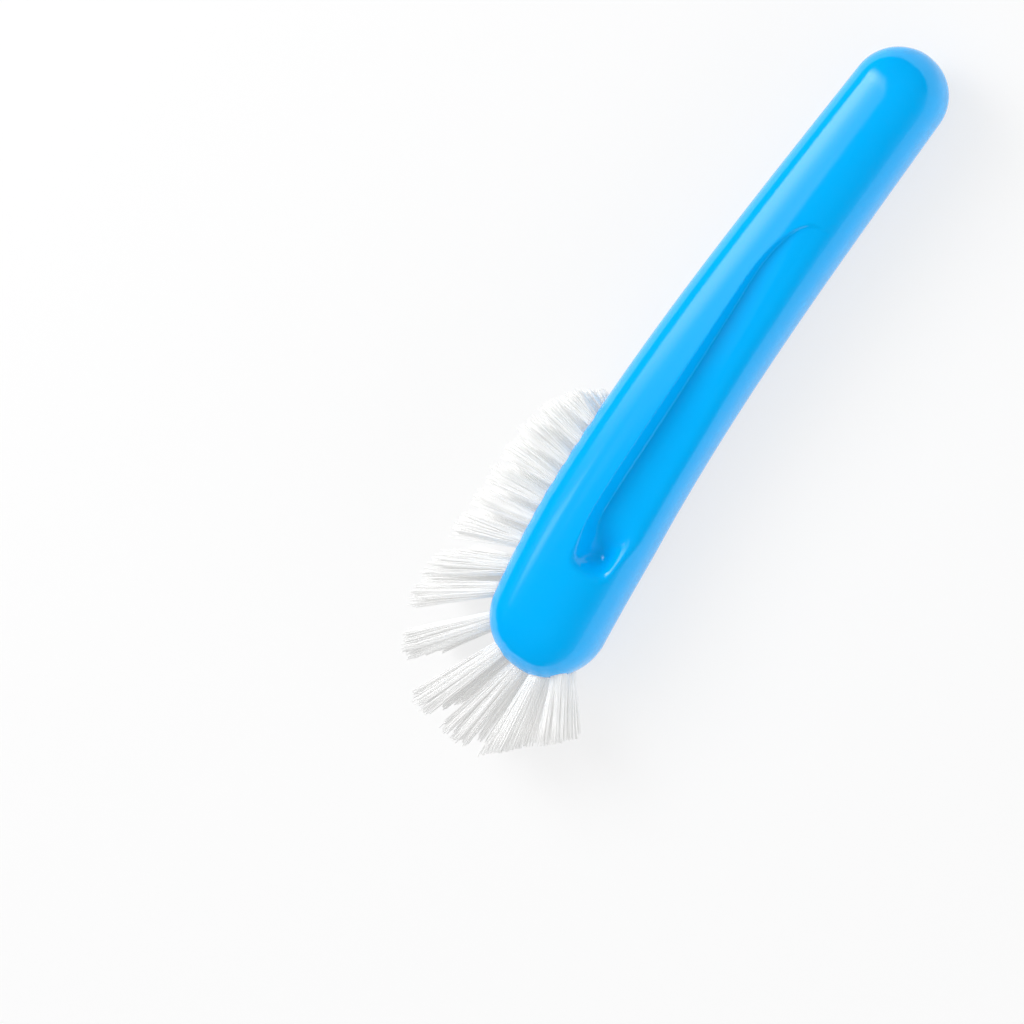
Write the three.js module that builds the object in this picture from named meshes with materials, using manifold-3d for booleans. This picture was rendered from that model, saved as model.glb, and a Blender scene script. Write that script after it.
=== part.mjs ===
// A short hand brush for scrubbing bottle lids and other small hollows.
// One moulded handle carries rows of bristle tufts on the underside of its head and round the
// head's tip. Each tuft is folded over a flat metal staple at the bottom of its own blind hole.
//
// Millimetres. The brush lies on its side: x runs from the head to the free end of the handle,
// the bristles point along +y, and the upper flank faces +z.
import * as THREE from "three";
import { mergeVertices } from "three/addons/utils/BufferGeometryUtils.js";
import Module from "manifold-3d";

const wasm = await Module();
wasm.setup();

// Handle
const SPINE_LENGTH = 127; // from the centre of the head's round tip to the centre of the end's
const BOW_AT_HEAD = 5.5; // height of the spine's two Bezier handles over its chord
const BOW_AT_END = 2.5;
const TIP_HALF_HEIGHT = 12.1; // half heights lie along y, half widths along z
const BELLY_HALF_HEIGHT = 12.5;
const BELLY_X = 22;
const END_HALF_HEIGHT = 9.3;
const HEAD_HALF_WIDTH = 10.6;
const END_HALF_WIDTH = 9.1;
const TIP_ROUND = 12.8; // how far the round tip reaches past the spine's start
const END_ROUND = 9.4;
const SECTION_POWER = 2.5; // 2 is an ellipse, more is squarer
const SECTION_POINTS = 24;
const BODY_RINGS = 16;
const ROUND_RINGS = 5;

// Thumb groove on each flank: a wall under a crease, and a floor from the wall's foot to where the
// flank falls under it. Towards the head the floor falls to the back, and at the head it sags between
// the crease and a rim. Crease and rim bend in to meet at both ends.
const GROOVE_HEAD_X = 13.8; // where the ends lie
const GROOVE_HEAD_Y = -3.6;
const GROOVE_TAIL_X = 98.9;
const GROOVE_TAIL_Y = -4.3;
const GROOVE_CREASE_Y = 2.1; // where the crease and the rim run straight
const GROOVE_RIM_Y = -6.8;
const CREASE_HEAD_BEND = 42; // lengths of their bends
const RIM_HEAD_BEND = 8;
const TAIL_BEND = 16.6;
const HEAD_BEND_POWER = 4; // 2 is an ellipse, more is squarer
const TAIL_BEND_POWER = 2;
const GROOVE_DEPTH = 3.2; // of the wall's foot under the crease
const GROOVE_RUN_OUT = 70; // length over which the foot rises to the tail
const GROOVE_RUN_OUT_POWER = 0.64; // less is later
const GROOVE_WALL_ANGLE = 70; // degrees
const GROOVE_BOWL = 5.5; // length of the round end at the head
const GROOVE_FALL = 5; // degrees, of the floor to the back
const FALL_FADE_X = 45; // from where to where the floor turns level
const FALL_END_X = 70;
const GROOVE_SAG = 2; // of the floor's middle at the head
const SAG_FADE_X = 17; // from where to where the sag runs out
const SAG_END_X = 28;
const GROOVE_RINGS = 20;
const GROOVE_FLOOR_STEPS = 6;
const GROOVE_OVERRUN = 3; // of the cutter, outside the handle

// Tufts
const HEEL_X = 40; // place of the row nearest the free end
const TOE_WRAP = 133; // angle of the last row round the tip, in degrees from the bristle side
const ROW_PITCH = 5;
const PARTED_ROWS = [7, 9, 10]; // rows with a wider gap before them, counted from the heel
const PARTING = 1.6; // added to the pitch before each of them
const COLUMN_PITCH = 4.4;
const COLUMNS = 3;
const TOE_ROWS = 3; // the last rows, which are shorter
const TOE_COLUMNS = 2;
const HEEL_LEAN = -14; // leans in degrees, forwards from square to the spine's chord
const LEAN_GAIN = 78; // gained evenly from the heel row to the last
const PARTING_LEAN = 6; // added at each wider gap
const TOE_CURL = 40; // added round the tip
const TOE_CURL_POWER = 3;
const SIDE_LEAN = 8; // outwards, from one column to the next
const HOLE_DIAMETER = 3.4;
const HOLE_DEPTH = 4.2;
const HOLE_SIDES = 6;
const ROOT_SIDES = 4;
const TRIM_RADIUS = 25.5; // the tips are cut to a round-ended outline of this half height
const TRIM_TOE = 7.2; // how far its middle line reaches past the spine's start
const TRIM_HEEL = 26.7; // and how far it runs along the spine
const TRIM_BACK = 25.8; // distance of the straight cut behind the toe from the spine's start
const TRIM_BACK_ANGLE = 137; // degrees, the way that cut faces
const TRIM_HALVINGS = 30; // steps of the search for a strand's cut end
const STRANDS_PER_TUFT = 8;
const STRAND_RADIUS = 0.26;
const STRAND_SIDES = 3;
const STRAND_ROOT = 0.6; // how far a strand is sunk into its backing
const SPLAY = 5.5; // lean in degrees of the outermost strands of a tuft from its middle

// Backing: thin slices of the head's tufted face, one under each group of rows
const BACKING_THICKNESS = 1.2;
const BACKING_MARGIN = 2; // past the centres of the outermost tufts
const FACE_REACH = 6; // on both sides of the tufted face, for the bars that bound the slices
const FACE_STEP = 2.5; // along the tufted face
const FACE_STEP_ANGLE = 10; // degrees, round the tip
const BACKING_NAMES = ["bristles_heel", "bristles_middle", "bristles_front", "bristles_toe"];

// Staples
const STAPLE_LENGTH = 3.8;
const STAPLE_THICKNESS = 0.4;
const STAPLE_HEIGHT = 1.2;
const STAPLE_ANGLE = 45; // degrees from the rows
const FOLD = 0.5; // left under the staple for the filaments that fold round it

const FIT_GAP = 0.3; // between pieces that touch

const radians = THREE.MathUtils.degToRad;
const { clamp, lerp, smoothstep } = THREE.MathUtils;
const UP = new THREE.Vector3(0, 0, 1);

// Closed solids
const MERGE_DISTANCE = 1e-4;

function toSolid(geometry) {
  const bare = geometry.clone();
  bare.deleteAttribute("normal");
  bare.deleteAttribute("uv");
  const merged = mergeVertices(bare, MERGE_DISTANCE);
  const vertProperties = new Float32Array(merged.attributes.position.array);
  const triVerts = new Uint32Array(merged.index.array);
  return new wasm.Manifold(new wasm.Mesh({ numProp: 3, vertProperties, triVerts }));
}

function toGeometry(solid) {
  const mesh = solid.getMesh();
  const geometry = new THREE.BufferGeometry();
  geometry.setAttribute("position", new THREE.BufferAttribute(mesh.vertProperties, 3));
  geometry.setIndex(new THREE.BufferAttribute(mesh.triVerts, 1));
  geometry.computeVertexNormals();
  return geometry;
}

function joined(solids) {
  return solids.reduce((whole, piece) => whole.add(piece));
}

// A closed skin through rings of equal point count, with a pole at each end. The rings follow
// each other along +x, and each runs from +y towards +z.
function skin(rings, firstPole, lastPole) {
  const count = rings[0].length;
  const points = [...rings.flat(), firstPole, lastPole];
  const first = points.length - 2;
  const last = points.length - 1;
  const faces = [];
  for (let j = 0; j < count; j++) {
    const next = (j + 1) % count;
    faces.push(first, next, j);
    const end = (rings.length - 1) * count;
    faces.push(last, end + j, end + next);
    for (let i = 0; i < rings.length - 1; i++) {
      const a = i * count;
      const b = a + count;
      faces.push(a + j, a + next, b + j);
      faces.push(a + next, b + next, b + j);
    }
  }
  const geometry = new THREE.BufferGeometry().setFromPoints(points);
  geometry.setIndex(faces);
  return geometry;
}

// Handle's own curve and sections
const spine = new THREE.CubicBezierCurve3(
  new THREE.Vector3(0, 0, 0),
  new THREE.Vector3(SPINE_LENGTH / 3, BOW_AT_HEAD, 0),
  new THREE.Vector3((2 * SPINE_LENGTH) / 3, BOW_AT_END, 0),
  new THREE.Vector3(SPINE_LENGTH, 0, 0),
);

function halfHeight(x) {
  if (x < BELLY_X) {
    const toTip = (BELLY_X - x) / BELLY_X;
    return BELLY_HALF_HEIGHT - (BELLY_HALF_HEIGHT - TIP_HALF_HEIGHT) * toTip ** 2;
  }
  return lerp(BELLY_HALF_HEIGHT, END_HALF_HEIGHT, (x - BELLY_X) / (SPINE_LENGTH - BELLY_X));
}

function halfWidth(x) {
  return lerp(HEAD_HALF_WIDTH, END_HALF_WIDTH, x / SPINE_LENGTH);
}

// Centre, direction across (towards the bristles) and half sizes of the section at x along the
// chord. Past the spine's ends the sections shrink along the round tip and the round end. The
// inset is how far under the handle's surface the section lies.
function section(x, inset = 0) {
  const inside = clamp(x, 0, SPINE_LENGTH);
  const share = inside / SPINE_LENGTH;
  const along = spine.getTangent(share);
  const past = x - inside;
  const round = (past < 0 ? TIP_ROUND : END_ROUND) - inset;
  const shrink = Math.sqrt(Math.max(0, 1 - (past / round) ** 2));
  return {
    centre: spine.getPoint(share).addScaledVector(along, past),
    across: new THREE.Vector3(-along.y, along.x, 0),
    height: (halfHeight(inside) - inset) * shrink,
    width: (halfWidth(inside) - inset) * shrink,
  };
}

function power(value, exponent) {
  return Math.sign(value) * Math.abs(value) ** exponent;
}

function sectionRing(x, inset) {
  const { centre, across, height, width } = section(x, inset);
  return Array.from({ length: SECTION_POINTS }, (_, j) => {
    const turn = (2 * Math.PI * j) / SECTION_POINTS;
    return centre
      .clone()
      .addScaledVector(across, height * power(Math.cos(turn), 2 / SECTION_POWER))
      .addScaledVector(UP, width * power(Math.sin(turn), 2 / SECTION_POWER));
  });
}

// The handle's plain body, without grooves or holes
function bodyGeometry(inset) {
  const first = inset - TIP_ROUND;
  const last = SPINE_LENGTH + END_ROUND - inset;
  const stations = [];
  for (let i = 1; i < ROUND_RINGS; i++) {
    stations.push(first * Math.cos((Math.PI / 2) * (i / ROUND_RINGS)));
  }
  for (let i = 0; i <= BODY_RINGS; i++) stations.push((SPINE_LENGTH * i) / BODY_RINGS);
  for (let i = 1; i < ROUND_RINGS; i++) {
    stations.push(lerp(SPINE_LENGTH, last, Math.sin((Math.PI / 2) * (i / ROUND_RINGS))));
  }
  const rings = stations.map((x) => sectionRing(x, inset));
  return skin(rings, section(first, inset).centre, section(last, inset).centre);
}

const plainMaterial = new THREE.MeshBasicMaterial({ side: THREE.DoubleSide });
const body = new THREE.Mesh(bodyGeometry(0), plainMaterial);
const bodySolid = toSolid(body.geometry);

// Grooves: height of the upper flank over the middle plane
function flankHeight(x, y) {
  const { centre, height, width } = section(x);
  const off = Math.min(Math.abs(y - centre.y) / height, 1);
  return width * (1 - off ** SECTION_POWER) ** (1 / SECTION_POWER);
}

// Place across of the crease or the rim, which runs straight at one y and bends in at both ends
function grooveSide(x, straightY, headBend) {
  const intoHead = clamp((GROOVE_HEAD_X + headBend - x) / headBend, 0, 1);
  if (intoHead > 0) {
    const share = (1 - intoHead ** HEAD_BEND_POWER) ** (1 / HEAD_BEND_POWER);
    return lerp(GROOVE_HEAD_Y, straightY, share);
  }
  const intoTail = clamp((x - GROOVE_TAIL_X + TAIL_BEND) / TAIL_BEND, 0, 1);
  const share = (1 - intoTail ** TAIL_BEND_POWER) ** (1 / TAIL_BEND_POWER);
  return lerp(GROOVE_TAIL_Y, straightY, share);
}

// Share of the full depth at x: round at the head, running out at the tail
function grooveShare(x) {
  const intoBowl = clamp((GROOVE_HEAD_X + GROOVE_BOWL - x) / GROOVE_BOWL, 0, 1);
  const intoTail = clamp((x - GROOVE_TAIL_X + GROOVE_RUN_OUT) / GROOVE_RUN_OUT, 0, 1);
  return Math.sqrt(1 - intoBowl ** 2) * (1 - intoTail ** 2) ** GROOVE_RUN_OUT_POWER;
}

// Outline of the groove's cutter at x: up from the crease, over the flank to the back, and along the
// floor to the wall's foot
function grooveOutline(x) {
  const crease = grooveSide(x, GROOVE_CREASE_Y, CREASE_HEAD_BEND);
  const rim = grooveSide(x, GROOVE_RIM_Y, RIM_HEAD_BEND);
  const back = rim - GROOVE_OVERRUN;
  const creaseHeight = flankHeight(x, crease);
  const depth = GROOVE_DEPTH * grooveShare(x);
  const fall = Math.tan(radians(GROOVE_FALL)) * (1 - smoothstep(x, FALL_FADE_X, FALL_END_X));
  const sag = GROOVE_SAG * grooveShare(x) * (1 - smoothstep(x, SAG_FADE_X, SAG_END_X));
  const foot = crease - depth / Math.tan(radians(GROOVE_WALL_ANGLE));
  const over = HEAD_HALF_WIDTH + GROOVE_OVERRUN;
  const points = [
    [crease, creaseHeight],
    [crease, over],
    [back, over],
  ];
  for (let i = 0; i <= GROOVE_FLOOR_STEPS; i++) {
    const y = lerp(back, foot, i / GROOVE_FLOOR_STEPS);
    const share = (crease - y) / Math.max(crease - rim, FIT_GAP);
    const floor = creaseHeight - depth - fall * (crease - y);
    points.push([y, floor - 4 * sag * share * (1 - share)]);
  }
  return points;
}

function centreOf(ring) {
  return ring.reduce((sum, point) => sum.add(point), new THREE.Vector3()).divideScalar(ring.length);
}

function grooveCutter(side) {
  const rings = [];
  for (let i = 0; i <= GROOVE_RINGS; i++) {
    const share = (1 - Math.cos((Math.PI * i) / GROOVE_RINGS)) / 2;
    const x = lerp(GROOVE_HEAD_X, GROOVE_TAIL_X, share);
    const ring = grooveOutline(x).map(([y, z]) => new THREE.Vector3(x, y, side * z));
    rings.push(side > 0 ? ring : ring.reverse());
  }
  return toSolid(skin(rings, centreOf(rings[0]), centreOf(rings.at(-1))));
}

// Middle line of the tufted face, from behind the heel row, along the head and round the tip
function tuftedLine() {
  const points = [];
  const heel = HEEL_X + BACKING_MARGIN;
  const steps = Math.ceil(heel / FACE_STEP);
  for (let i = 0; i < steps; i++) {
    const { centre, across, height } = section(heel * (1 - i / steps));
    points.push(centre.addScaledVector(across, height));
  }
  const lastAngle = TOE_WRAP + THREE.MathUtils.radToDeg(BACKING_MARGIN / TIP_ROUND);
  const turns = Math.ceil(lastAngle / FACE_STEP_ANGLE);
  for (let i = 0; i <= turns; i++) {
    const angle = radians((lastAngle * i) / turns);
    const { centre, across } = section(-TIP_ROUND * Math.sin(angle));
    points.push(centre.addScaledVector(across, TIP_HALF_HEIGHT * Math.cos(angle)));
  }
  return new THREE.CatmullRomCurve3(points);
}

const face = tuftedLine();
const faceLength = face.getLength();

function faceAt(distance) {
  const share = clamp(distance / faceLength, 0, 1);
  const along = face.getTangentAt(share);
  return { point: face.getPointAt(share), outward: new THREE.Vector3(along.y, -along.x, 0) };
}

// A bar that follows the tufted face from one distance to another. It is thicker than any backing,
// on both sides of the face, so that the handle's own skins bound what is taken with it.
function faceBar(from, to, halfSpan) {
  const steps = Math.ceil((to - from) / FACE_STEP);
  const inner = [];
  const outer = [];
  for (let i = 0; i <= steps; i++) {
    const { point, outward } = faceAt(lerp(from, to, i / steps));
    inner.push(point.clone().addScaledVector(outward, -FACE_REACH));
    outer.unshift(point.clone().addScaledVector(outward, FACE_REACH));
  }
  const outline = [...inner, ...outer].map((p) => new THREE.Vector2(p.x, p.y));
  const bar = new THREE.ExtrudeGeometry(new THREE.Shape(outline), {
    depth: 2 * halfSpan,
    bevelEnabled: false,
  });
  return toSolid(bar.translate(0, 0, -halfSpan));
}

// Tufts: place, direction and frame of each
const rowsLength = faceLength - 2 * BACKING_MARGIN;
const pitchesLength = rowsLength - PARTING * PARTED_ROWS.length;
const rowCount = Math.round(pitchesLength / ROW_PITCH) + 1;
const rowPitch = pitchesLength / (rowCount - 1);

function partingsBefore(row) {
  return PARTED_ROWS.filter((parted) => parted <= row).length;
}

// Distance of a row from the heel row, along the tufted face
function rowDistance(row) {
  return row * rowPitch + partingsBefore(row) * PARTING;
}

// Forward lean of a row's tufts. The round tip starts HEEL_X from the heel row.
function rowLean(row) {
  const fromHeel = rowDistance(row);
  const roundShare = Math.max(fromHeel - HEEL_X, 0) / (rowsLength - HEEL_X);
  const even = HEEL_LEAN + (LEAN_GAIN * fromHeel) / rowsLength;
  const lean = even + PARTING_LEAN * partingsBefore(row);
  return lean + TOE_CURL * roundShare ** TOE_CURL_POWER;
}

// The way that a lean points
function leaning(degrees) {
  return new THREE.Vector3(-Math.sin(radians(degrees)), Math.cos(radians(degrees)), 0);
}

// Where a line through a point, followed outwards from inside the head, leaves the handle
function surfacePoint(near, direction) {
  const start = near.clone().addScaledVector(direction, -TIP_HALF_HEIGHT / 2);
  return new THREE.Raycaster(start, direction).intersectObject(body)[0].point;
}

function makeTufts() {
  const tufts = [];
  for (let row = 0; row < rowCount; row++) {
    const { point, outward } = faceAt(BACKING_MARGIN + rowDistance(row));
    const columns = row < rowCount - TOE_ROWS ? COLUMNS : TOE_COLUMNS;
    for (let column = 0; column < columns; column++) {
      const place = column - (columns - 1) / 2;
      const seat = point.clone().setZ(place * COLUMN_PITCH);
      const root = surfacePoint(seat, outward);
      const tilt = radians(SIDE_LEAN) * place;
      const axis = leaning(rowLean(row));
      axis.multiplyScalar(Math.cos(tilt)).addScaledVector(UP, Math.sin(tilt));
      const acrossRow = new THREE.Vector3().crossVectors(UP, axis).normalize();
      const alongRow = new THREE.Vector3().crossVectors(axis, acrossRow);
      const frame = new THREE.Matrix4().makeBasis(acrossRow, alongRow, axis).setPosition(root);
      const stapleTurn = radians(place < 0 ? -STAPLE_ANGLE : STAPLE_ANGLE);
      frame.multiply(new THREE.Matrix4().makeRotationZ(stapleTurn));
      tufts.push({ row, frame });
    }
  }
  return tufts;
}

// A bar along a tuft's axis, between two heights over the handle's surface. Two of its sides face
// along the staple.
function tuftBar(tuft, diameter, sides, low, high) {
  const bar = new THREE.CylinderGeometry(diameter / 2, diameter / 2, high - low, sides);
  bar.rotateY(Math.PI / 2 - Math.PI / sides).rotateX(Math.PI / 2);
  bar.translate(0, 0, (low + high) / 2);
  return toSolid(bar.applyMatrix4(tuft.frame));
}

// The staple's block, grown on every side by a clearance
function stapleGeometry(tuft, clearance) {
  const block = new THREE.BoxGeometry(
    STAPLE_LENGTH + 2 * clearance,
    STAPLE_THICKNESS + 2 * clearance,
    STAPLE_HEIGHT + 2 * clearance,
  );
  block.translate(0, 0, -HOLE_DEPTH + FOLD + STAPLE_HEIGHT / 2);
  return block.applyMatrix4(tuft.frame);
}

// Distance along a line from a root to the trimmed outline of the bristles
const backCut = leaning(TRIM_BACK_ANGLE);

function trimmedLength(root, direction) {
  const outside = (length) => {
    const tip = root.clone().addScaledVector(direction, length);
    const nearest = clamp(tip.x, -TRIM_TOE, TRIM_HEEL);
    return Math.hypot(tip.x - nearest, tip.y) > TRIM_RADIUS || tip.dot(backCut) > TRIM_BACK;
  };
  let low = 0;
  let high = 2 * TRIM_RADIUS;
  for (let i = 0; i < TRIM_HALVINGS; i++) {
    const middle = (low + high) / 2;
    if (outside(middle)) high = middle;
    else low = middle;
  }
  return low;
}

const strandShape = new THREE.Shape(
  Array.from({ length: STRAND_SIDES }, (_, i) => {
    const turn = (2 * Math.PI * i) / STRAND_SIDES;
    return new THREE.Vector2(STRAND_RADIUS * Math.cos(turn), STRAND_RADIUS * Math.sin(turn));
  }),
);

// Strands of one tuft: spread evenly over its round root, splayed, cut to the outline
function strands(tuft) {
  const rootRadius = HOLE_DIAMETER / 2 - FIT_GAP;
  const goldenAngle = Math.PI * (3 - Math.sqrt(5));
  const axis = new THREE.Vector3().setFromMatrixColumn(tuft.frame, 2);
  const root = new THREE.Vector3().setFromMatrixPosition(tuft.frame);
  const height = trimmedLength(root, axis);
  const flare = 1 + (height * Math.tan(radians(SPLAY))) / rootRadius;
  return Array.from({ length: STRANDS_PER_TUFT }, (_, k) => {
    const radius = rootRadius * Math.sqrt((k + 0.5) / STRANDS_PER_TUFT);
    const turn = k * goldenAngle;
    const foot = new THREE.Vector3(radius * Math.cos(turn), radius * Math.sin(turn), 0);
    const top = foot.clone().multiplyScalar(flare).setZ(height).applyMatrix4(tuft.frame);
    foot.applyMatrix4(tuft.frame);
    const direction = top.sub(foot).normalize();
    const start = surfacePoint(foot, direction);
    const length = trimmedLength(start, direction) + STRAND_ROOT;
    const strand = new THREE.ExtrudeGeometry(strandShape, { depth: length, bevelEnabled: false });
    const turned = new THREE.Quaternion().setFromUnitVectors(UP, direction);
    strand.translate(0, 0, -STRAND_ROOT).applyQuaternion(turned);
    return toSolid(strand.translate(start.x, start.y, start.z));
  });
}

// Pieces
const tufts = makeTufts();
const backingHalfSpan = ((COLUMNS - 1) / 2) * COLUMN_PITCH + BACKING_MARGIN;

function handleSolid() {
  const pocketFloor = toSolid(bodyGeometry(BACKING_THICKNESS + FIT_GAP));
  const pocket = faceBar(0, faceLength, backingHalfSpan + FIT_GAP).subtract(pocketFloor);
  const cuts = [pocket, grooveCutter(1), grooveCutter(-1)];
  for (const tuft of tufts) {
    cuts.push(tuftBar(tuft, HOLE_DIAMETER, HOLE_SIDES, -HOLE_DEPTH, 0));
    cuts.push(toSolid(stapleGeometry(tuft, FIT_GAP)));
  }
  return bodySolid.subtract(joined(cuts));
}

// One group of rows: its slice of the tufted face, the roots that reach down to the staples, and
// the strands
function bristleSolid(firstRow, lastRow) {
  const edgeBefore = (row) => BACKING_MARGIN + (rowDistance(row - 1) + rowDistance(row)) / 2;
  const start = Math.max(edgeBefore(firstRow) + FIT_GAP / 2, FIT_GAP);
  const stop = Math.min(edgeBefore(lastRow + 1) - FIT_GAP / 2, faceLength - FIT_GAP);
  const slice = bodySolid.intersect(faceBar(start, stop, backingHalfSpan));
  const pieces = [slice.subtract(toSolid(bodyGeometry(BACKING_THICKNESS)))];
  const rootTops = toSolid(bodyGeometry(BACKING_THICKNESS / 2));
  const rootEnd = -HOLE_DEPTH + FOLD + STAPLE_HEIGHT + FIT_GAP;
  for (const tuft of tufts) {
    if (tuft.row < firstRow || tuft.row > lastRow) continue;
    const root = tuftBar(tuft, HOLE_DIAMETER - 2 * FIT_GAP, ROOT_SIDES, rootEnd, 0);
    pieces.push(root.intersect(rootTops));
    pieces.push(...strands(tuft));
  }
  return joined(pieces);
}

const bluePlastic = new THREE.MeshStandardMaterial({ color: 0x00aaff, roughness: 0.2, metalness: 0 });
const whiteNylon = new THREE.MeshStandardMaterial({ color: 0xf6f6f4, roughness: 0.4, metalness: 0 });
const brass = new THREE.MeshStandardMaterial({ color: 0xc8a95a, roughness: 0.35, metalness: 1 });

const lying = new THREE.Group();

function addPiece(name, geometry, material) {
  const mesh = new THREE.Mesh(geometry, material);
  mesh.name = name;
  lying.add(mesh);
}

addPiece("handle", toGeometry(handleSolid()), bluePlastic);
const firstRowOf = (group) => Math.round((group * rowCount) / BACKING_NAMES.length);
BACKING_NAMES.forEach((name, group) => {
  const firstRow = firstRowOf(group);
  const lastRow = firstRowOf(group + 1) - 1;
  addPiece(name, toGeometry(bristleSolid(firstRow, lastRow)), whiteNylon);
});
tufts.forEach((tuft, i) => {
  addPiece(`staple_${String(i + 1).padStart(2, "0")}`, stapleGeometry(tuft, 0), brass);
});

// The origin is under the middle of the brush, on the surface that it lies on.
const box = new THREE.Box3().setFromObject(lying, true);
const middle = box.getCenter(new THREE.Vector3());
lying.position.set(-middle.x, -middle.y, -box.min.z);

const brush = new THREE.Group();
brush.add(lying);
export default brush;
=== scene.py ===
# A short hand brush for scrubbing bottle lids, lying on its flank on a pale floor.
# The brush's own frame is in millimetres, as its solids were drawn: x runs from the centre of the
# head's round tip to the free end, the bristles point along +y and the upper flank faces +z.
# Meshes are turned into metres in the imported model's frame when they are made.
import math
import random

import bpy
import numpy as np
from mathutils import Matrix, Vector
from mathutils.bvhtree import BVHTree


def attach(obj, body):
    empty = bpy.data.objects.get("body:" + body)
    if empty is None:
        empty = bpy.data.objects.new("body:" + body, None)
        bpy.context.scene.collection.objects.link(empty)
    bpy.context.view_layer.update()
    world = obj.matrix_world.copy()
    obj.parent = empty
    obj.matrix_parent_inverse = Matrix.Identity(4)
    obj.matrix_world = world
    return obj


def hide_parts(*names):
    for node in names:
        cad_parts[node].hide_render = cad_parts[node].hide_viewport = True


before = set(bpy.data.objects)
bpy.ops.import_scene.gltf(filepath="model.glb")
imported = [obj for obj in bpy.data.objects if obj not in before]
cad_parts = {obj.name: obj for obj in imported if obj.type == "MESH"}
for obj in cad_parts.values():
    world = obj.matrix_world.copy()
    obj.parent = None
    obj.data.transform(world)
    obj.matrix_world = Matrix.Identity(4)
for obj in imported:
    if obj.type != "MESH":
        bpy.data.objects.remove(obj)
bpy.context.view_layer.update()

MM = 0.001
BRUSH_ORIGIN = Vector((-51.832, -3.695, 10.6))  # of the brush's own frame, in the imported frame

# Handle
SPINE_LENGTH = 127.0
BOW_AT_HEAD = 5.5  # heights of the two points that bend the spine's curve
BOW_AT_END = 2.5
TIP_HALF_HEIGHT = 12.1
BELLY_HALF_HEIGHT = 12.5
BELLY_X = 22.0
END_HALF_HEIGHT = 9.3
HEAD_HALF_WIDTH = 10.6
END_HALF_WIDTH = 9.1
TIP_ROUND = 12.8  # lengths of the round tip and the round end
END_ROUND = 9.4
SECTION_POWER = 2.5  # 2 is an ellipse, more is squarer
STATION_STEP = 0.4  # between the rings of the handle's skin
ROUND_STATIONS = 28  # rings on each round end
SHARP_ANGLE = math.radians(35)  # edges sharper than this, as at the holes, aren't smoothed

# Thumb groove on each flank: a wall under a crease, a floor that runs out at the back, and a round
# bowl at the head's end
GROOVE_HEAD_X = 13.8
GROOVE_HEAD_Y = -3.6
GROOVE_TAIL_X = 98.9
GROOVE_TAIL_Y = -4.3
GROOVE_CREASE_Y = 2.1
GROOVE_RIM_Y = -6.8
CREASE_HEAD_BEND = 42.0
RIM_HEAD_BEND = 8.0
TAIL_BEND = 16.6
HEAD_BEND_POWER = 4  # roundness of the bends, 2 is an ellipse
TAIL_BEND_POWER = 2
GROOVE_DEPTH = 3.2
GROOVE_RUN_OUT = 70.0
GROOVE_RUN_OUT_POWER = 0.64
GROOVE_WALL_ANGLE = math.radians(70)
BOWL_RADIUS = 4.8  # of the groove's round end at the head
BOWL_X = GROOVE_HEAD_X + BOWL_RADIUS  # where its centre lies
BOWL_Y = -3.8
BOWL_SLANT = 0.24  # slope of its middle line away from the head, towards the bristles
BOWL_BACK_SHARE = 0.8  # how far its back half is drawn out, less is more
BOWL_BLEND = 1.5  # length over which it runs into the crease
BOWL_ANGLE = math.radians(62)  # slope of its wall
BOWL_FOOT_ROUNDING = 3.5
BOWL_FADE = 6.0  # length over which that slope and rounding fade away from the head
GROOVE_FALL = math.radians(5)  # of the floor to the back
FALL_FADE_X = 45.0
FALL_END_X = 70.0
GROOVE_SAG = 2.0  # of the floor's middle at the head
SAG_FADE_X = 17.0
SAG_END_X = 28.0
CREASE_ROUNDING = 0.25  # roundings of the crease, of the wall's foot and of the rim
FOOT_ROUNDING = 0.6
RIM_ROUNDING = 2.0
RIM_ROUNDING_REACH = 6.0  # distance from the crease to the rim's full rounding
CREASE_SOFTENING = 9.0  # length over which the crease softens towards the head
RIM_SEARCH = (math.radians(20), math.radians(160))  # angles between which the groove lies
RIM_SEARCH_STEP = math.radians(0.25)
RIM_LEAST_WIDTH = math.radians(5)
RIM_POINTS = (44, 60, 40)  # from the bristle side to the groove, across it, and on to the back
RIM_GATHER = 0.8  # how far the points gather at the rims, from 0, evenly, to 1
LEAST_ACROSS = 0.01  # keeps distances to the crease finite beside its ends

# Tufts
HEEL_X = 40.0
TOE_WRAP = math.radians(133)
ROW_COUNT = 14
PARTED_ROWS = (7, 9, 10)
PARTING = 1.6
COLUMN_PITCH = 4.4
COLUMNS = 3
TOE_ROWS = 3
TOE_COLUMNS = 2
HEEL_LEAN = math.radians(-14)
LEAN_GAIN = math.radians(78)
PARTING_LEAN = math.radians(6)
TOE_CURL = math.radians(40)
TOE_CURL_POWER = 3
SIDE_LEAN = math.radians(8)
HOLE_DIAMETER = 3.4
HOLE_DEPTH = 4.2
HOLE_SIDES = 28
HOLE_MOUTH = 0.1  # height of the flare at the hole's mouth, under the surface and over it
HOLE_FLARE = 0.2  # and how far the radius grows in it
HOLE_OVERRUN = 1.2  # of the cutters, over the surface
TRIM_RADIUS = 25.5
TRIM_TOE = 7.2
TRIM_HEEL = 26.7
TRIM_BACK = 25.8
TRIM_BACK_ANGLE = math.radians(137)
TRIM_HALVINGS = 24
LINE_STEPS = 200  # points on each half of the tufted face's middle line
GROUP_NAMES = ("heel", "middle", "front", "toe")

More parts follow.
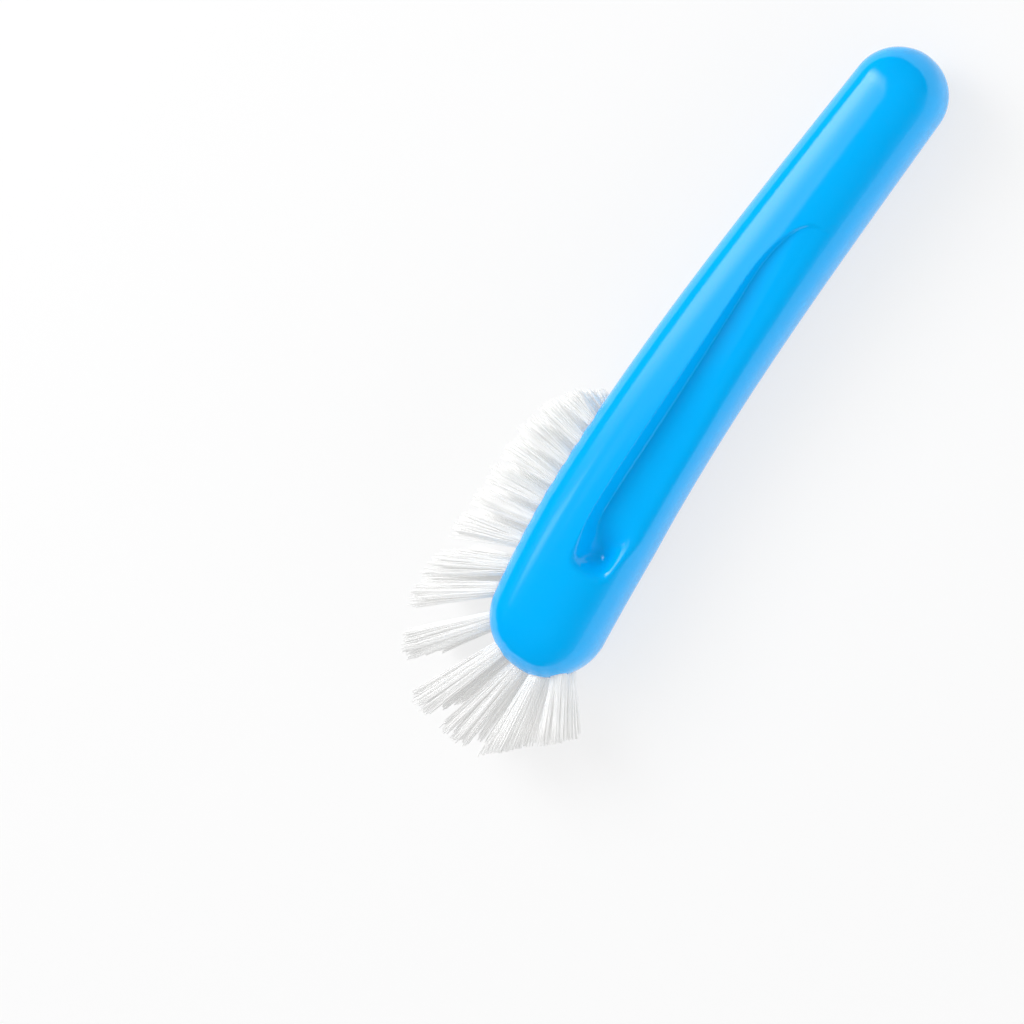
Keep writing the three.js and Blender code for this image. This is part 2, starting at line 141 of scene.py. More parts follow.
# Filaments
FILAMENTS_PER_TUFT = 105
FILAMENT_RADIUS = 0.145
FILAMENT_SIDES = 5
FILAMENT_RINGS = 5
FILAMENT_ROOT = 2.4  # length inside the hole
LOWEST_FILAMENT = FILAMENT_RADIUS - HEAD_HALF_WIDTH  # where the floor holds a filament up
SPLAY = math.radians(5.5)
SPLAY_SPREAD = (0.8, 1.2)  # shares of the splay, from filament to filament
CLUMPS = 5  # to a tuft
CLUMP_PULL = 0.25  # share of the way to its clump's middle that a filament leans
BEND = 0.3  # spread of the filaments' leans
WOBBLE = 0.06  # and of their bows
UNEVEN_CUT = 1.2  # most that a filament falls short of the trimmed outline
SEED = 41

# Materials: colours and roughnesses as a least and a most, noises as waves to the metre and detail
BLUE = ((0, 0.435, 0.98), (0, 0.465, 1))
BLUE_CLOUDS = (60, 3)
BLUE_ROUGHNESS = (0.08, 0.14)
BLUE_HAZE = (400, 4)
BLUE_RIPPLES = (500, 2)
RIPPLE_HEIGHT = 0.00002
RIPPLE_STRENGTH = 0.1
NYLON = ((0.8, 0.8, 0.795), (0.91, 0.91, 0.905))
NYLON_ROUGHNESS = (0.45, 0.6)
NYLON_HAZE = (3000, 2)
NYLON_SPECULAR = 0.25
NYLON_PAINTED_GLOW = 0.17  # painted glow: emission that stands in for light that has passed through many filaments
BRASS = ((0.5, 0.34, 0.09), (0.66, 0.46, 0.14))
BRASS_CLOUDS = (900, 3)
BRASS_ROUGHNESS = (0.25, 0.45)
BRASS_HAZE = (2500, 3)
PAPER = ((0.93, 0.93, 0.93), (0.94, 0.94, 0.94))
PAPER_CLOUDS = (8, 2)
PAPER_ROUGHNESS = 0.9
PAPER_SPECULAR = 0.1

# Camera: the frame of the picture, and where the centres of the round tip and end lie in it
PICTURE_SIZE = 1024
TIP_PIXEL = (550.7, 615.6)
END_PIXEL = (898.7, 95.7)
CAMERA_TILT = math.radians(20)  # from straight above, towards the handle's back
CAMERA_LEAN = math.radians(18)  # and towards its free end
CAMERA_DISTANCE = 700.0
SENSOR_WIDTH = 36.0

# Stage and light, in metres
FLOOR_HALF_SIZE = 4.0
FLOOR_WHITE = 0.965  # the plain white that the floor is mixed with where it is seen
FLOOR_WHITE_SHARE = 0.75
WORLD_STRENGTH = 0.61
# Lamps that don't show in reflections: place, size and radiance
LAMPS = {
    "key": ((-0.3, 0.8, 0.55), (0.8, 0.35), 1.2),
    "back_fill": ((0, -0.9, 0.3), (2, 0.5), 1.1),
}
# Windows: place, size, radiance by the place along from the free end, and the share of it by the
# place from the foot upwards. The large one lights the brush, the others only show in reflections.
WINDOWS = {
    "large": (
        (-0.125, 0.58, 0.69),
        (1.25, 0.84),
        (
            (0, 0), (0.12, 2.6), (0.22, 5.6), (0.36, 5.6), (0.45, 3.8),
            (0.52, 2.8), (0.56, 1.2), (0.6, 0.3), (0.67, 0.2), (0.7, 0),
        ),
        ((0, 0.5), (0.12, 0.9), (0.25, 1), (0.5, 1), (0.7, 0.55), (0.9, 0.35), (1, 0.3)),
    ),
    "head": (
        (-0.33, 0.64, 0.61),
        (0.1, 0.24),
        ((0, 0), (0.5, 2.4), (1, 0)),
        ((0, 0), (0.3, 1), (0.8, 1), (1, 0)),
    ),
    "high": (
        (-0.2, 0.36, 0.87),
        (0.14, 0.29),
        ((0, 0), (0.2, 0.9), (0.8, 0.9), (1, 0)),
        ((0, 0.3), (0.5, 0.4), (1, 1)),
    ),
    "back": (
        (-0.2, -0.9, 0.16),
        (3.0, 0.38),
        ((0, 0.4), (1, 0.4)),
        ((0, 1), (1, 0)),
    ),
}


def lerp(a, b, share):
    return a + (b - a) * share


def power(value, exponent):
    return np.abs(value) ** exponent


def to_frame(point):
    return (Vector(point) + BRUSH_ORIGIN) * MM


# Handle's own curve and sections
def spine(x):
    """Centre and direction of the handle at a distance along its chord."""
    t = min(max(x / SPINE_LENGTH, 0), 1)
    y = 3 * (1 - t) ** 2 * t * BOW_AT_HEAD + 3 * (1 - t) * t**2 * BOW_AT_END
    rise = 3 * (1 - t) * (1 - 3 * t) * BOW_AT_HEAD + 3 * t * (2 - 3 * t) * BOW_AT_END
    along = np.array([1, rise / SPINE_LENGTH, 0])
    return np.array([t * SPINE_LENGTH, y, 0]), along / np.linalg.norm(along)


def half_height(x):
    if x < BELLY_X:
        to_tip = (BELLY_X - x) / BELLY_X
        return BELLY_HALF_HEIGHT - (BELLY_HALF_HEIGHT - TIP_HALF_HEIGHT) * to_tip**2
    share = (x - BELLY_X) / (SPINE_LENGTH - BELLY_X)
    return lerp(BELLY_HALF_HEIGHT, END_HALF_HEIGHT, share)


def section(x):
    """Centre, direction across towards the bristles, half height and half width at x."""
    inside = min(max(x, 0), SPINE_LENGTH)
    past = x - inside
    centre, along = spine(inside)
    reach = TIP_ROUND if past < 0 else END_ROUND
    shrink = math.sqrt(max(0, 1 - (past / reach) ** 2))
    across = np.array([-along[1], along[0], 0])
    width = lerp(HEAD_HALF_WIDTH, END_HALF_WIDTH, inside / SPINE_LENGTH)
    return centre + along * past, across, half_height(inside) * shrink, width * shrink


def section_points(x, angles):
    """Points of the plain section at x, at angles from the bristle side towards the flank."""
    centre, across, height, width = section(x)
    side = np.cos(angles)
    up = np.sin(angles)
    reach = power(side / height, SECTION_POWER) + power(up / width, SECTION_POWER)
    reach = reach ** (-1 / SECTION_POWER)
    points = centre + np.outer(reach * side, across)
    points[:, 2] += reach * up
    return points


# Groove
def flank_height(x, y):
    centre, _, height, width = section(x)
    off = min(abs(y - centre[1]) / height, 1)
    return width * (1 - off**SECTION_POWER) ** (1 / SECTION_POWER)


def clamped(share):
    return min(max(share, 0), 1)


def groove_side(x, straight_y, head_bend):
    """Place across of the crease or the rim, which runs straight at one y and bends in at both ends."""
    into_head = clamped((GROOVE_HEAD_X + head_bend - x) / head_bend)
    if into_head > 0:
        share = (1 - into_head**HEAD_BEND_POWER) ** (1 / HEAD_BEND_POWER)
        return lerp(GROOVE_HEAD_Y, straight_y, share)
    into_tail = clamped((x - GROOVE_TAIL_X + TAIL_BEND) / TAIL_BEND)
    share = (1 - into_tail**TAIL_BEND_POWER) ** (1 / TAIL_BEND_POWER)
    return lerp(GROOVE_TAIL_Y, straight_y, share)


def groove_share(x):
    """Share of the full depth at x, which runs out at the tail."""
    into_tail = clamped((x - GROOVE_TAIL_X + GROOVE_RUN_OUT) / GROOVE_RUN_OUT)
    return (1 - into_tail**2) ** GROOVE_RUN_OUT_POWER


def inside_crease(x, y):
    """Distances inside the groove's crease at x."""
    before = GROOVE_HEAD_X + CREASE_HEAD_BEND - x
    after = x - GROOVE_TAIL_X + TAIL_BEND
    if before > 0:
        off, bend, end_y, bow = before, CREASE_HEAD_BEND, GROOVE_HEAD_Y, HEAD_BEND_POWER
    else:
        off, bend, end_y, bow = max(after, 0), TAIL_BEND, GROOVE_TAIL_Y, TAIL_BEND_POWER
    reach = GROOVE_CREASE_Y - end_y
    across = np.maximum(y - end_y, LEAST_ACROSS)
    level = ((off / bend) ** bow + (across / reach) ** bow) ** (1 / bow)
    slope_x = off ** (bow - 1) / bend**bow
    slope_y = across ** (bow - 1) / reach**bow
    return (1 - level) * level ** (bow - 1) / np.hypot(slope_x, slope_y)


def inside_bowl(x, y):
    """Distances inside the groove's round end at x."""
    past = x - BOWL_X
    before = min(past, 0)
    front = np.maximum(y - BOWL_Y - BOWL_SLANT * max(past, 0), 0)
    back = np.minimum(y - BOWL_Y, 0) * BOWL_BACK_SHARE
    return BOWL_RADIUS - np.hypot(before, front + back)


def smooth_min(a, b, rounding):
    share = np.clip(0.5 + 0.5 * (b - a) / rounding, 0, 1)
    return lerp(b, a, share) - rounding * share * (1 - share)


def fading(x, start, stop):
    """A share that fades smoothly from 1 at the start to 0 at the stop."""
    share = clamped((x - start) / (stop - start))
    return 1 - share**2 * (3 - 2 * share)


def groove_floor(x, y):
    """Heights of the groove's floor at x, which falls towards the back and sags at the head."""
    after_bowl = max(x, BOWL_X)
    crease = groove_side(after_bowl, GROOVE_CREASE_Y, CREASE_HEAD_BEND)
    rim = groove_side(after_bowl, GROOVE_RIM_Y, RIM_HEAD_BEND)
    foot_height = flank_height(x, crease) - GROOVE_DEPTH * groove_share(x)
    fall = math.tan(GROOVE_FALL) * fading(x, FALL_FADE_X, FALL_END_X)
    sag = GROOVE_SAG * groove_share(x) * fading(x, SAG_FADE_X, SAG_END_X)
    share = (crease - y) / max(crease - rim, FOOT_ROUNDING)
    return foot_height - fall * (crease - y) - 4 * sag * share * (1 - share)


def groove_surface(x, y, flank):
    """Heights of the groove's own wall and floor at x, under the flank's heights."""
    inside = smooth_min(inside_crease(x, y), inside_bowl(x, y), BOWL_BLEND)
    bowl_share = fading(x, BOWL_X, BOWL_X + BOWL_FADE)
    wall = flank - inside * math.tan(lerp(GROOVE_WALL_ANGLE, BOWL_ANGLE, bowl_share))
    rounding = lerp(FOOT_ROUNDING, BOWL_FOOT_ROUNDING, bowl_share)
    return -smooth_min(-wall, -groove_floor(x, y), rounding)


def rim_rounding(x, y):
    """Rounding of the groove's edge: sharp at the crease, soft at the rim and at the head."""
    back = np.clip((GROOVE_CREASE_Y - y) / RIM_ROUNDING_REACH, 0, 1)
    head = clamped(1 - (x - GROOVE_HEAD_X) / CREASE_SOFTENING)
    return lerp(CREASE_ROUNDING, RIM_ROUNDING, np.maximum(back, head) ** 2)


def groove_rims(stations):
    """Angles of the groove's two rims at each station. Past the groove's ends they run on."""
    search = np.arange(*RIM_SEARCH, RIM_SEARCH_STEP)
    rims = []
    for x in stations:
        flank = section_points(x, search)
        cut = np.flatnonzero(groove_surface(x, flank[:, 1], flank[:, 2]) < flank[:, 2])
        rims.append((search[cut[0]], search[cut[-1]]) if len(cut) else (np.nan, np.nan))
    rims = np.array(rims)
    known = np.flatnonzero(~np.isnan(rims[:, 0]))
    for side in (0, 1):
        rims[:, side] = np.interp(np.arange(len(rims)), known, rims[known, side])
    middle = rims.mean(axis=1)
    half = np.maximum((rims[:, 1] - rims[:, 0]) / 2, RIM_LEAST_WIDTH / 2)
    return middle - half, middle + half


def gathered(count, at_start, at_end):
    """Shares from 0 up to, but without, 1 that gather at the ends asked for."""
    s = np.arange(count) / count
    eased = s
    if at_start and at_end:
        eased = (1 - np.cos(np.pi * s)) / 2
    elif at_end:
        eased = np.sin(np.pi / 2 * s)
    elif at_start:
        eased = 1 - np.cos(np.pi / 2 * s)
    return lerp(s, eased, RIM_GATHER)


def ring_angles(first_rim, last_rim):
    """Angles of one ring's points from the bristle side over the upper flank to the back."""
    before, between, after = RIM_POINTS
    return np.concatenate([
        lerp(0, first_rim, gathered(before, False, True)),
        lerp(first_rim, last_rim, gathered(between, True, True)),
        lerp(last_rim, math.pi, gathered(after, True, False)),
        [math.pi],
    ])


def handle_stations():
    turns = (np.pi / 2) * np.arange(1, ROUND_STATIONS) / ROUND_STATIONS
    tip = -TIP_ROUND * np.cos(turns)
    body = np.linspace(0, SPINE_LENGTH, round(SPINE_LENGTH / STATION_STEP) + 1)
    end = SPINE_LENGTH + END_ROUND * np.sin(turns)
    return np.concatenate([tip, body, end])


def handle_mesh_data():
    """Points and faces of the whole handle, with both grooves and without holes."""
    stations = handle_stations()
    rings = []
    for x, first_rim, last_rim in zip(stations, *groove_rims(stations)):
        upper = section_points(x, ring_angles(first_rim, last_rim))
        if GROOVE_HEAD_X - RIM_ROUNDING < x < GROOVE_TAIL_X + RIM_ROUNDING:
            y, flank = upper[:, 1], upper[:, 2]
            cut = smooth_min(flank, groove_surface(x, y, flank), rim_rounding(x, y))
            # points near the middle plane stay where they are
            upper[:, 2] = np.where(flank > GROOVE_DEPTH, cut, flank)
        lower = upper[-2:0:-1] * (1, 1, -1)
        rings.append(np.concatenate([upper, lower]))
    return skin(rings, section(-TIP_ROUND)[0], section(SPINE_LENGTH + END_ROUND)[0])


def skin(rings, first_pole, last_pole):
    """A closed skin over rings of equal point count that follow each other along +x."""
    count = len(rings[0])
    points = np.concatenate(rings + [[first_pole], [last_pole]])
    first = len(points) - 2
    last = len(points) - 1
    end = (len(rings) - 1) * count
    faces = []
    for j in range(count):
        after = (j + 1) % count
        faces.append((first, after, j))
        faces.append((last, end + j, end + after))
        for a in range(0, end, count):
            faces.append((a + j, a + after, a + count + after, a + count + j))
    return points, faces


def new_object(name, points, faces, material):
    mesh = bpy.data.meshes.new(name)
    mesh.from_pydata([to_frame(p) for p in points], [], faces)
    mesh.polygons.foreach_set("use_smooth", [True] * len(mesh.polygons))
    mesh.materials.append(material)
    made = bpy.data.objects.new(name, mesh)
    bpy.context.scene.collection.objects.link(made)
    return made


# Tufts
def tufted_line():
    """Fine points along the middle of the tufted face, from the heel row round the tip."""
    points = []
    for x in np.linspace(HEEL_X, 0, LINE_STEPS, endpoint=False):
        centre, across, height, _ = section(x)
        points.append(centre + across * height)
    for angle in np.linspace(0, TOE_WRAP, LINE_STEPS):
        centre, across, _, _ = section(-TIP_ROUND * math.sin(angle))
        points.append(centre + across * TIP_HALF_HEIGHT * math.cos(angle))
    return np.array(points)


def row_lean(from_heel, partings, length):
    """Forward lean of a row at a distance from the heel row, along a line of that length."""
    round_share = max(from_heel - HEEL_X, 0) / (length - HEEL_X)
    lean = HEEL_LEAN + LEAN_GAIN * from_heel / length + PARTING_LEAN * partings
    return lean + TOE_CURL * round_share**TOE_CURL_POWER


def leaning(angle):
    return Vector((-math.sin(angle), math.cos(angle), 0))


def make_tufts(body):
    """Row and frame of each tuft. A frame's z is the tuft's direction, its y lies across."""
    line = tufted_line()
    steps = np.linalg.norm(np.diff(line, axis=0), axis=1)
    distance = np.concatenate([[0], np.cumsum(steps)])
    pitch = (distance[-1] - PARTING * len(PARTED_ROWS)) / (ROW_COUNT - 1)
    tufts = []
    for row in range(ROW_COUNT):
        partings = sum(row >= parted for parted in PARTED_ROWS)
        at = row * pitch + PARTING * partings
        point = Vector([np.interp(at, distance, line[:, i]) for i in range(3)])
        middle = leaning(row_lean(at, partings, distance[-1]))
        columns = COLUMNS if row < ROW_COUNT - TOE_ROWS else TOE_COLUMNS
        for column in range(columns):
            place = column - (columns - 1) / 2
            tilt = SIDE_LEAN * place
            axis = middle * math.cos(tilt) + Vector((0, 0, math.sin(tilt)))
            seat = point + Vector((0, 0, place * COLUMN_PITCH))
            start = seat - middle * TIP_HALF_HEIGHT / 2
            root = body.ray_cast(start, middle)[0]
            across = Vector((0, 0, 1)).cross(axis).normalized()
            turned = Matrix((across, axis.cross(across), axis)).transposed().to_4x4()
            tufts.append((row, Matrix.Translation(root) @ turned))
    return tufts


def hole_cutters(tufts):
    """One mesh of all the cutters: round bars, flared at the mouth."""
    radius = HOLE_DIAMETER / 2
    profile = (
        (radius, -HOLE_DEPTH),
        (radius, -HOLE_MOUTH),
        (radius + HOLE_FLARE, HOLE_MOUTH),
        (radius + HOLE_FLARE, HOLE_OVERRUN),
    )
    points = []
    faces = []
    for _, place in tufts:
        base = len(points)
        for reach, height in profile:
            for j in range(HOLE_SIDES):
                turn = 2 * math.pi * j / HOLE_SIDES
                points.append(place @ Vector((reach * math.cos(turn), reach * math.sin(turn), height)))
        faces += tube_faces(base, HOLE_SIDES, len(profile))
    return points, faces


def tube_faces(base, sides, rings):
    """Faces of a closed tube whose rings of points start at base and follow its direction."""
    faces = []
    for ring in range(rings - 1):
        low = base + ring * sides
        for j in range(sides):
            after = (j + 1) % sides
            faces.append((low + j, low + after, low + sides + after, low + sides + j))
    last = base + (rings - 1) * sides
    faces.append(tuple(range(base + sides - 1, base - 1, -1)))
    faces.append(tuple(range(last, last + sides)))
    return faces


def trimmed_length(root, direction):
    """Distance along a line from a root to the trimmed outline of the bristles."""
    low = 0.0
    high = 2 * TRIM_RADIUS
    for _ in range(TRIM_HALVINGS):
        middle = (low + high) / 2
        tip = root + direction * middle
        nearest = min(max(tip.x, -TRIM_TOE), TRIM_HEEL)
        past_back = tip.dot(leaning(TRIM_BACK_ANGLE)) > TRIM_BACK
        if past_back or math.hypot(tip.x - nearest, tip.y) > TRIM_RADIUS:
            high = middle
        else:
            low = middle
    return low


def disc_point(radius, share, turn):
    reach = radius * math.sqrt(share)
    return Vector((reach * math.cos(turn), reach * math.sin(turn), 0))


def filament_paths(place, chance):
    """Centre lines of one tuft's filaments, in the brush's frame."""
    golden = math.pi * (3 - math.sqrt(5))
    spread = HOLE_DIAMETER / 2 - FILAMENT_RADIUS
    clumps = [disc_point(spread, chance.random(), 2 * math.pi * chance.random()) for _ in range(CLUMPS)]
    axis = place.col[2].to_3d()
    turned = place.to_3x3()
    height = trimmed_length(place.translation, axis)
    flare = height * math.tan(SPLAY) / spread
    paths = []
    for k in range(FILAMENTS_PER_TUFT):
        foot = disc_point(spread, (k + 0.5) / FILAMENTS_PER_TUFT, k * golden)
        nearest = min(clumps, key=lambda clump: (clump - foot).length)
        lean = foot.lerp(nearest, CLUMP_PULL) * flare * chance.uniform(*SPLAY_SPREAD)
        lean += (nearest - foot) * CLUMP_PULL
        lean += Vector((chance.gauss(0, BEND), chance.gauss(0, BEND), 0))
        root = place @ foot
        direction = (turned @ (lean + Vector((0, 0, height)))).normalized()
        cut = trimmed_length(root, direction) - UNEVEN_CUT * chance.random()
        length = cut * height / (lean + Vector((0, 0, height))).length
        swing = Vector((chance.gauss(0, WOBBLE), chance.gauss(0, WOBBLE), 0))
        path = [place @ (foot - Vector((0, 0, FILAMENT_ROOT)))]
        for ring in range(FILAMENT_RINGS - 1):
            t = ring / (FILAMENT_RINGS - 2)
            side = lean * (length / height) * t + swing * math.sin(math.pi * t)
            point = place @ (foot + side + Vector((0, 0, length * t)))
            point.z = max(point.z, LOWEST_FILAMENT)
            path.append(point)
        paths.append(path)
    return paths


def tuft_group(name, tufts, material, chance):
    """All the filaments of a group of tufts as one mesh, each with its own shade."""
    points = []
    faces = []
    shades = []
    ring_turns = [2 * math.pi * j / FILAMENT_SIDES for j in range(FILAMENT_SIDES)]
    for _, place in tufts:
        across = place.col[0].to_3d()
        along = place.col[1].to_3d()
        ring = [(across * math.cos(a) + along * math.sin(a)) * FILAMENT_RADIUS for a in ring_turns]
        for path in filament_paths(place, chance):
            faces += tube_faces(len(points), FILAMENT_SIDES, len(path))
            points += [centre + side for centre in path for side in ring]
            shades += [chance.random()] * (len(path) * FILAMENT_SIDES)
    made = new_object(name, points, faces, material)
    shade = made.data.attributes.new("shade", "FLOAT", "POINT")
    shade.data.foreach_set("value", shades)
    return made


# Materials
def new_material(name):
    material = bpy.data.materials.new(name)
    material.use_nodes = True
    tree = material.node_tree
    return material, tree, tree.nodes["Principled BSDF"]


def noise(tree, scale, detail):
    """A noise over the object's own coordinates, with so many waves to the metre."""
    place = tree.nodes.new("ShaderNodeTexCoord")
    made = tree.nodes.new("ShaderNodeTexNoise")
    made.inputs["Scale"].default_value = scale
    made.inputs["Detail"].default_value = detail
    tree.links.new(place.outputs["Object"], made.inputs["Vector"])
    return made.outputs["Fac"]


def ramp(tree, value, low, high):
    """A colour between low and high, by a value from 0 to 1."""
    made = tree.nodes.new("ShaderNodeValToRGB")
    made.color_ramp.elements[0].color = (*low, 1)
    made.color_ramp.elements[1].color = (*high, 1)
    tree.links.new(value, made.inputs["Fac"])
    return made.outputs["Color"]


def spread_value(tree, value, low, high):
    """A value between low and high, by a value from 0 to 1."""
    made = tree.nodes.new("ShaderNodeMapRange")
    made.inputs["To Min"].default_value = low
    made.inputs["To Max"].default_value = high
    tree.links.new(value, made.inputs["Value"])
    return made.outputs["Result"]


def bump(tree, shader, height, distance, strength):
    made = tree.nodes.new("ShaderNodeBump")
    made.inputs["Distance"].default_value = distance
    made.inputs["Strength"].default_value = strength
    tree.links.new(height, made.inputs["Height"])
    tree.links.new(made.outputs["Normal"], shader.inputs["Normal"])


def blue_plastic():
    material, tree, shader = new_material("glossy_blue_plastic")
    colour = ramp(tree, noise(tree, *BLUE_CLOUDS), *BLUE)
    tree.links.new(colour, shader.inputs["Base Color"])
    haze = spread_value(tree, noise(tree, *BLUE_HAZE), *BLUE_ROUGHNESS)
    tree.links.new(haze, shader.inputs["Roughness"])
    bump(tree, shader, noise(tree, *BLUE_RIPPLES), RIPPLE_HEIGHT, RIPPLE_STRENGTH)
    return material


def white_nylon():
    material, tree, shader = new_material("white_nylon")
    own = tree.nodes.new("ShaderNodeAttribute")
    own.attribute_name = "shade"
    colour = ramp(tree, own.outputs["Fac"], *NYLON)
    tree.links.new(colour, shader.inputs["Base Color"])
    haze = spread_value(tree, noise(tree, *NYLON_HAZE), *NYLON_ROUGHNESS)
    tree.links.new(haze, shader.inputs["Roughness"])
    shader.inputs["Specular IOR Level"].default_value = NYLON_SPECULAR
    # painted glow: the filaments emit light in their own colour, in place of light scattered through
    # the tufts
    tree.links.new(colour, shader.inputs["Emission Color"])
    shader.inputs["Emission Strength"].default_value = NYLON_PAINTED_GLOW
    return material


def staple_metal():
    material, tree, shader = new_material("staple_brass")
    colour = ramp(tree, noise(tree, *BRASS_CLOUDS), *BRASS)
    tree.links.new(colour, shader.inputs["Base Color"])
    shader.inputs["Metallic"].default_value = 1
    haze = spread_value(tree, noise(tree, *BRASS_HAZE), *BRASS_ROUGHNESS)
    tree.links.new(haze, shader.inputs["Roughness"])
    return material


def floor_paper():
    """Matt paper, of which camera, glossy and transmitted rays see a share as plain white."""
    material, tree, shader = new_material("pale_floor")
    colour = ramp(tree, noise(tree, *PAPER_CLOUDS), *PAPER)
    tree.links.new(colour, shader.inputs["Base Color"])
    shader.inputs["Roughness"].default_value = PAPER_ROUGHNESS
    shader.inputs["Specular IOR Level"].default_value = PAPER_SPECULAR
    rays = tree.nodes.new("ShaderNodeLightPath")
    seen = rays.outputs["Is Camera Ray"]
    for kind in ("Is Glossy Ray", "Is Transmission Ray"):
        either = tree.nodes.new("ShaderNodeMath")
        either.operation = "MAXIMUM"
        tree.links.new(seen, either.inputs[0])
        tree.links.new(rays.outputs[kind], either.inputs[1])
        seen = either.outputs["Value"]
    white = tree.nodes.new("ShaderNodeEmission")
    white.inputs["Strength"].default_value = FLOOR_WHITE
    both = tree.nodes.new("ShaderNodeMixShader")
    tree.links.new(spread_value(tree, seen, 0, FLOOR_WHITE_SHARE), both.inputs["Fac"])
    tree.links.new(shader.outputs["BSDF"], both.inputs[1])
    tree.links.new(white.outputs["Emission"], both.inputs[2])
    tree.links.new(both.outputs["Shader"], tree.nodes["Material Output"].inputs["Surface"])
    return material


# Stage
def make_floor():
    s = FLOOR_HALF_SIZE
    mesh = bpy.data.meshes.new("floor")
    mesh.from_pydata([(-s, -s, 0), (s, -s, 0), (s, s, 0), (-s, s, 0)], [], [(0, 1, 2, 3)])
    mesh.materials.append(floor_paper())
    floor = bpy.data.objects.new("floor", mesh)
    bpy.context.scene.collection.objects.link(floor)


def make_camera():
    """Camera that sees the centres of the round tip and end at their pixels."""
    level = Vector((0, -math.sin(CAMERA_TILT), math.cos(CAMERA_TILT)))
    toward = level * math.cos(CAMERA_LEAN) + Vector((math.sin(CAMERA_LEAN), 0, 0))
    tip, end = ((x - PICTURE_SIZE / 2, PICTURE_SIZE / 2 - y) for x, y in (TIP_PIXEL, END_PIXEL))
    end_depth = CAMERA_DISTANCE - SPINE_LENGTH * math.sin(CAMERA_LEAN)
    run = [e * end_depth - t * CAMERA_DISTANCE for t, e in zip(tip, end)]
    focus = math.hypot(*run) / (SPINE_LENGTH * math.cos(CAMERA_LEAN))
    roll = math.atan2(run[1], run[0])
    along = (Vector((1, 0, 0)) - toward * toward.x).normalized()
    across = toward.cross(along)
    right = along * math.cos(roll) - across * math.sin(roll)
    up = along * math.sin(roll) + across * math.cos(roll)
    aside = (right * tip[0] + up * tip[1]) * CAMERA_DISTANCE / focus
    data = bpy.data.cameras.new("camera")
    data.sensor_width = SENSOR_WIDTH
    data.lens = focus * SENSOR_WIDTH / PICTURE_SIZE
    camera = bpy.data.objects.new("camera", data)
    turned = Matrix((right, up, toward)).transposed().to_4x4()
    camera.matrix_world = Matrix.Translation(to_frame(toward * CAMERA_DISTANCE - aside)) @ turned
    bpy.context.scene.collection.objects.link(camera)
    bpy.context.scene.camera = camera


def make_lamp(name, place, size, radiance, diffuse=True, glossy=True):
    """A rectangular lamp that faces the brush, of a plain radiance."""
    data = bpy.data.lights.new(name, "AREA")
    data.shape = "RECTANGLE"
    data.size, data.size_y = size
    data.energy = radiance * math.pi * size[0] * size[1]
    lamp = bpy.data.objects.new(name, data)
    lamp.location = place
    lamp.rotation_mode = "QUATERNION"
    lamp.rotation_quaternion = Vector(place).to_track_quat("Z", "Y")
    lamp.visible_diffuse = diffuse
    lamp.visible_glossy = glossy
    lamp.visible_camera = False
    bpy.context.scene.collection.objects.link(lamp)
    return lamp


def lamp_ramp(tree, place, stops):
    """A value by the place along a lamp, from 0 to 1, straight between its stops."""
    made = tree.nodes.new("ShaderNodeFloatCurve")
    points = made.mapping.curves[0].points
    top = max(value for _, value in stops)
    for at, value in stops[2:]:
        points.new(at, value / top)
    for point, (at, value) in zip(points, stops):
        point.location = (at, value / top)
        point.handle_type = "VECTOR"
    made.mapping.extend = "HORIZONTAL"
    made.mapping.update()
    tree.links.new(place, made.inputs["Value"])
    scaled = tree.nodes.new("ShaderNodeMath")
    scaled.operation = "MULTIPLY"
    scaled.inputs[1].default_value = top
    tree.links.new(made.outputs["Value"], scaled.inputs[0])
    return scaled.outputs["Value"]


def make_window(name, place, size, along, upwards, diffuse):
    """A lamp that is uneven along its length and its height."""
    lamp = make_lamp(name, place, size, 1, diffuse=diffuse)
    lamp.data.use_nodes = True
    tree = lamp.data.node_tree
    geometry = tree.nodes.new("ShaderNodeNewGeometry")
    parts = tree.nodes.new("ShaderNodeSeparateXYZ")
    tree.links.new(geometry.outputs["Parametric"], parts.inputs["Vector"])
    product = tree.nodes.new("ShaderNodeMath")
    product.operation = "MULTIPLY"
    tree.links.new(lamp_ramp(tree, parts.outputs["X"], along), product.inputs[0])
    tree.links.new(lamp_ramp(tree, parts.outputs["Y"], upwards), product.inputs[1])
    tree.links.new(product.outputs["Value"], tree.nodes["Emission"].inputs["Strength"])


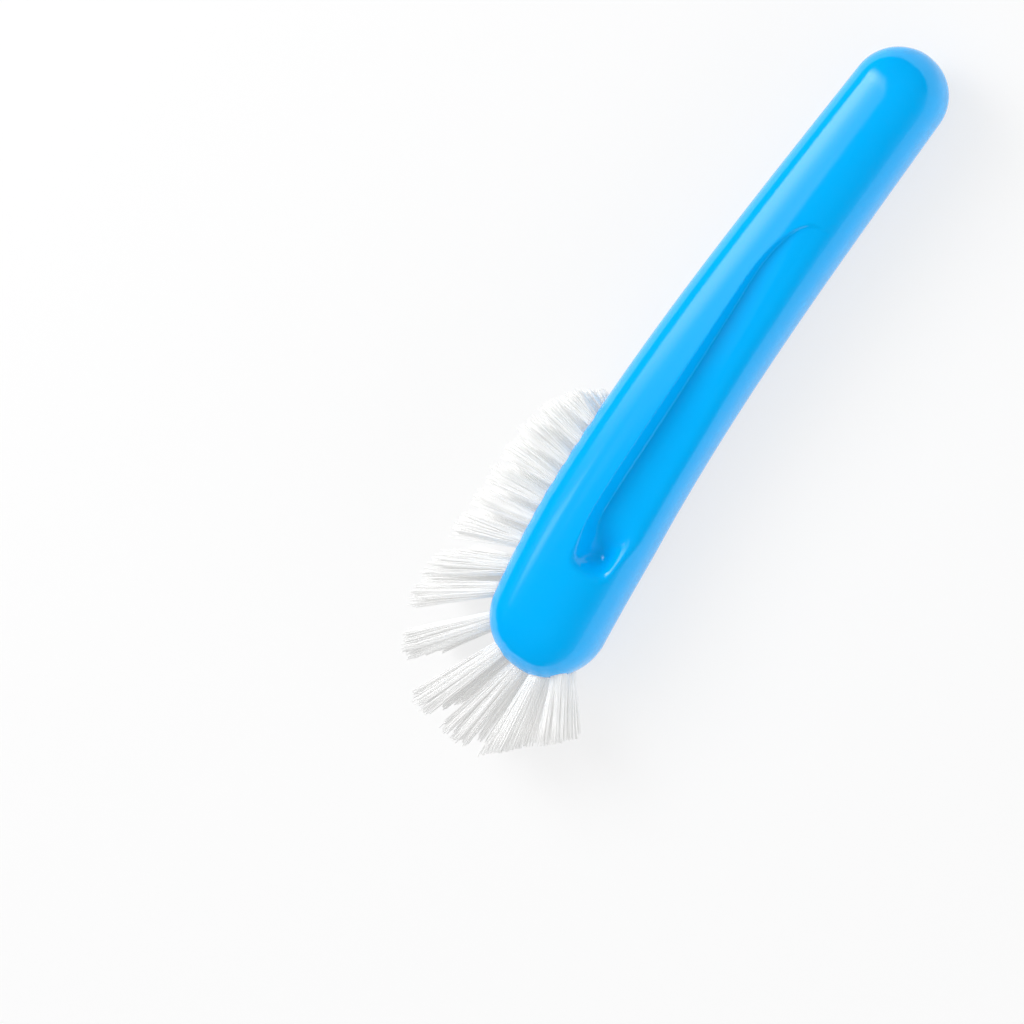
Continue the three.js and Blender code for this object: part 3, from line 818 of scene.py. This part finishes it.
def make_world():
    world = bpy.data.worlds.new("studio")
    world.use_nodes = True
    background = world.node_tree.nodes["Background"]
    background.inputs["Color"].default_value = (1, 1, 1, 1)
    background.inputs["Strength"].default_value = WORLD_STRENGTH
    world.cycles_visibility.glossy = False
    bpy.context.scene.world = world


def make_lights():
    make_world()
    for name, (place, size, along, upwards) in WINDOWS.items():
        make_window(name + "_window", place, size, along, upwards, diffuse=name == "large")
    for name, (place, size, radiance) in LAMPS.items():
        make_lamp(name, place, size, radiance, glossy=False)


# The brush
def make_handle(points, faces, tufts, material):
    handle = new_object("moulded_handle", points, faces, material)
    cutter = new_object("hole_cutters", *hole_cutters(tufts), material)
    cut = handle.modifiers.new("holes", "BOOLEAN")
    cut.object = cutter
    cut.operation = "DIFFERENCE"
    cut.solver = "MANIFOLD"
    bpy.context.view_layer.update()
    evaluated = handle.evaluated_get(bpy.context.evaluated_depsgraph_get())
    mesh = bpy.data.meshes.new_from_object(evaluated)
    handle.modifiers.clear()
    handle.data = mesh
    mesh.set_sharp_from_angle(angle=SHARP_ANGLE)
    bpy.data.objects.remove(cutter)
    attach(handle, "root")
    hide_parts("handle")


def make_brush():
    points, faces = handle_mesh_data()
    body = BVHTree.FromPolygons([Vector(p) for p in points], faces)
    tufts = make_tufts(body)
    make_handle(points, faces, tufts, blue_plastic())
    nylon = white_nylon()
    chance = random.Random(SEED)
    for index, group in enumerate(GROUP_NAMES):
        first = math.floor(index * ROW_COUNT / len(GROUP_NAMES) + 0.5)
        last = math.floor((index + 1) * ROW_COUNT / len(GROUP_NAMES) + 0.5) - 1
        chosen = [tuft for tuft in tufts if first <= tuft[0] <= last]
        piece = tuft_group("tufts_" + group, chosen, nylon, chance)
        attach(piece, "root")
        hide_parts("bristles_" + group)
    metal = staple_metal()
    for name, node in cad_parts.items():
        if name.startswith("staple_"):
            node.data.materials.clear()
            node.data.materials.append(metal)


make_brush()
make_floor()
make_camera()
make_lights()
bpy.context.scene.view_settings.view_transform = "Standard"
